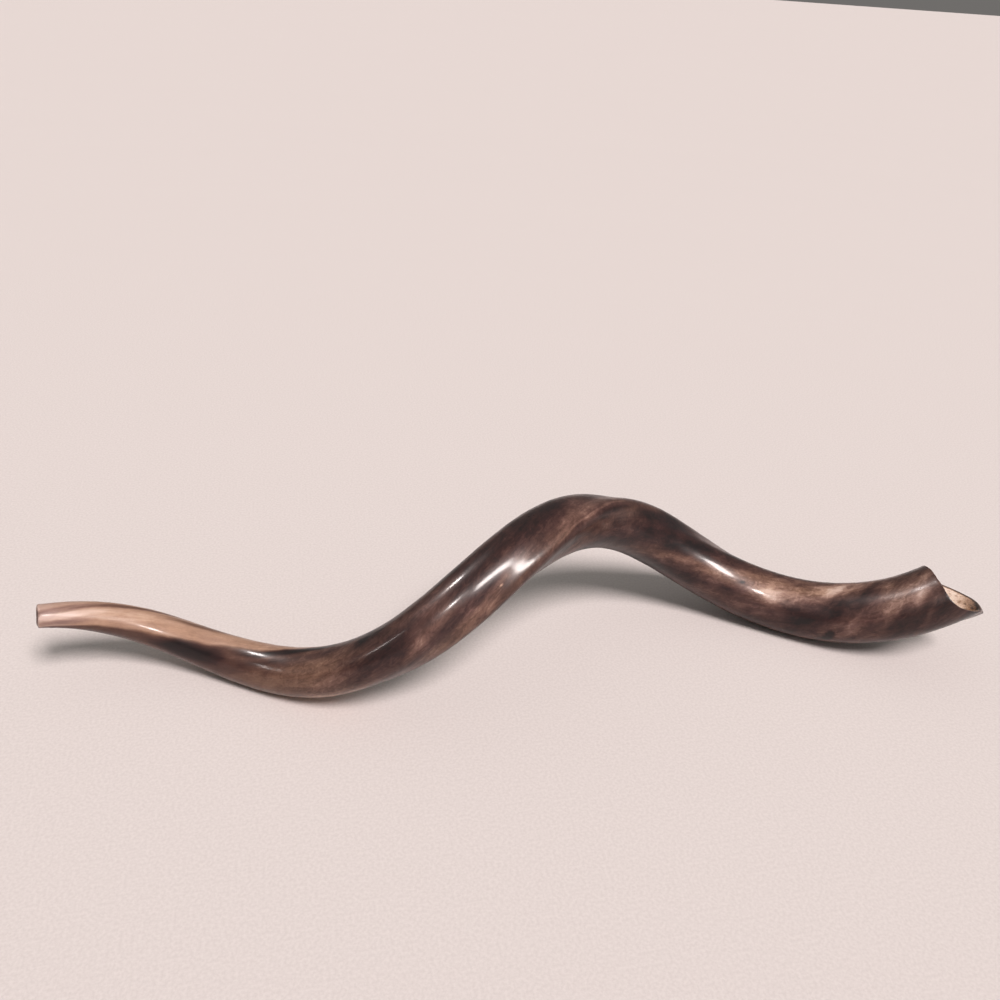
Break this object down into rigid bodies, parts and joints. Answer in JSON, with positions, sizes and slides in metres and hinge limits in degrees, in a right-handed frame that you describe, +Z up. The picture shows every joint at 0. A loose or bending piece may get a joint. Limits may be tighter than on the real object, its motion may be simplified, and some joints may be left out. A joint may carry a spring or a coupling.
{
  "type": "shofar",
  "caption": "Long spiral kudu-horn shofar with a narrow mouthpiece end, a keel ridge along the coil and a flared bell whose oblique rim runs out to a blunt point.",
  "frame": {"origin": "middle of the box round the horn, on the plane that it lies on", "axes": "+X from the mouthpiece to the bell, +Z up as the horn lies on its two low coils"},
  "size_m": [0.8624, 0.175, 0.1582],
  "materials": {
    "pale_horn": "polished translucent horn",
    "dark_horn": "polished mottled horn",
    "inner_layer": "rough unpolished horn"
  },
  "bodies": {
    "root": {"mouthpiece": "pale_horn", "drilled_neck": "pale_horn", "front_bend": "dark_horn", "crest_bend": "dark_horn", "rear_bend": "dark_horn", "lower_bend": "dark_horn", "bell": "dark_horn", "inner_lining": "inner_layer"}
  },
  "joints": []
}
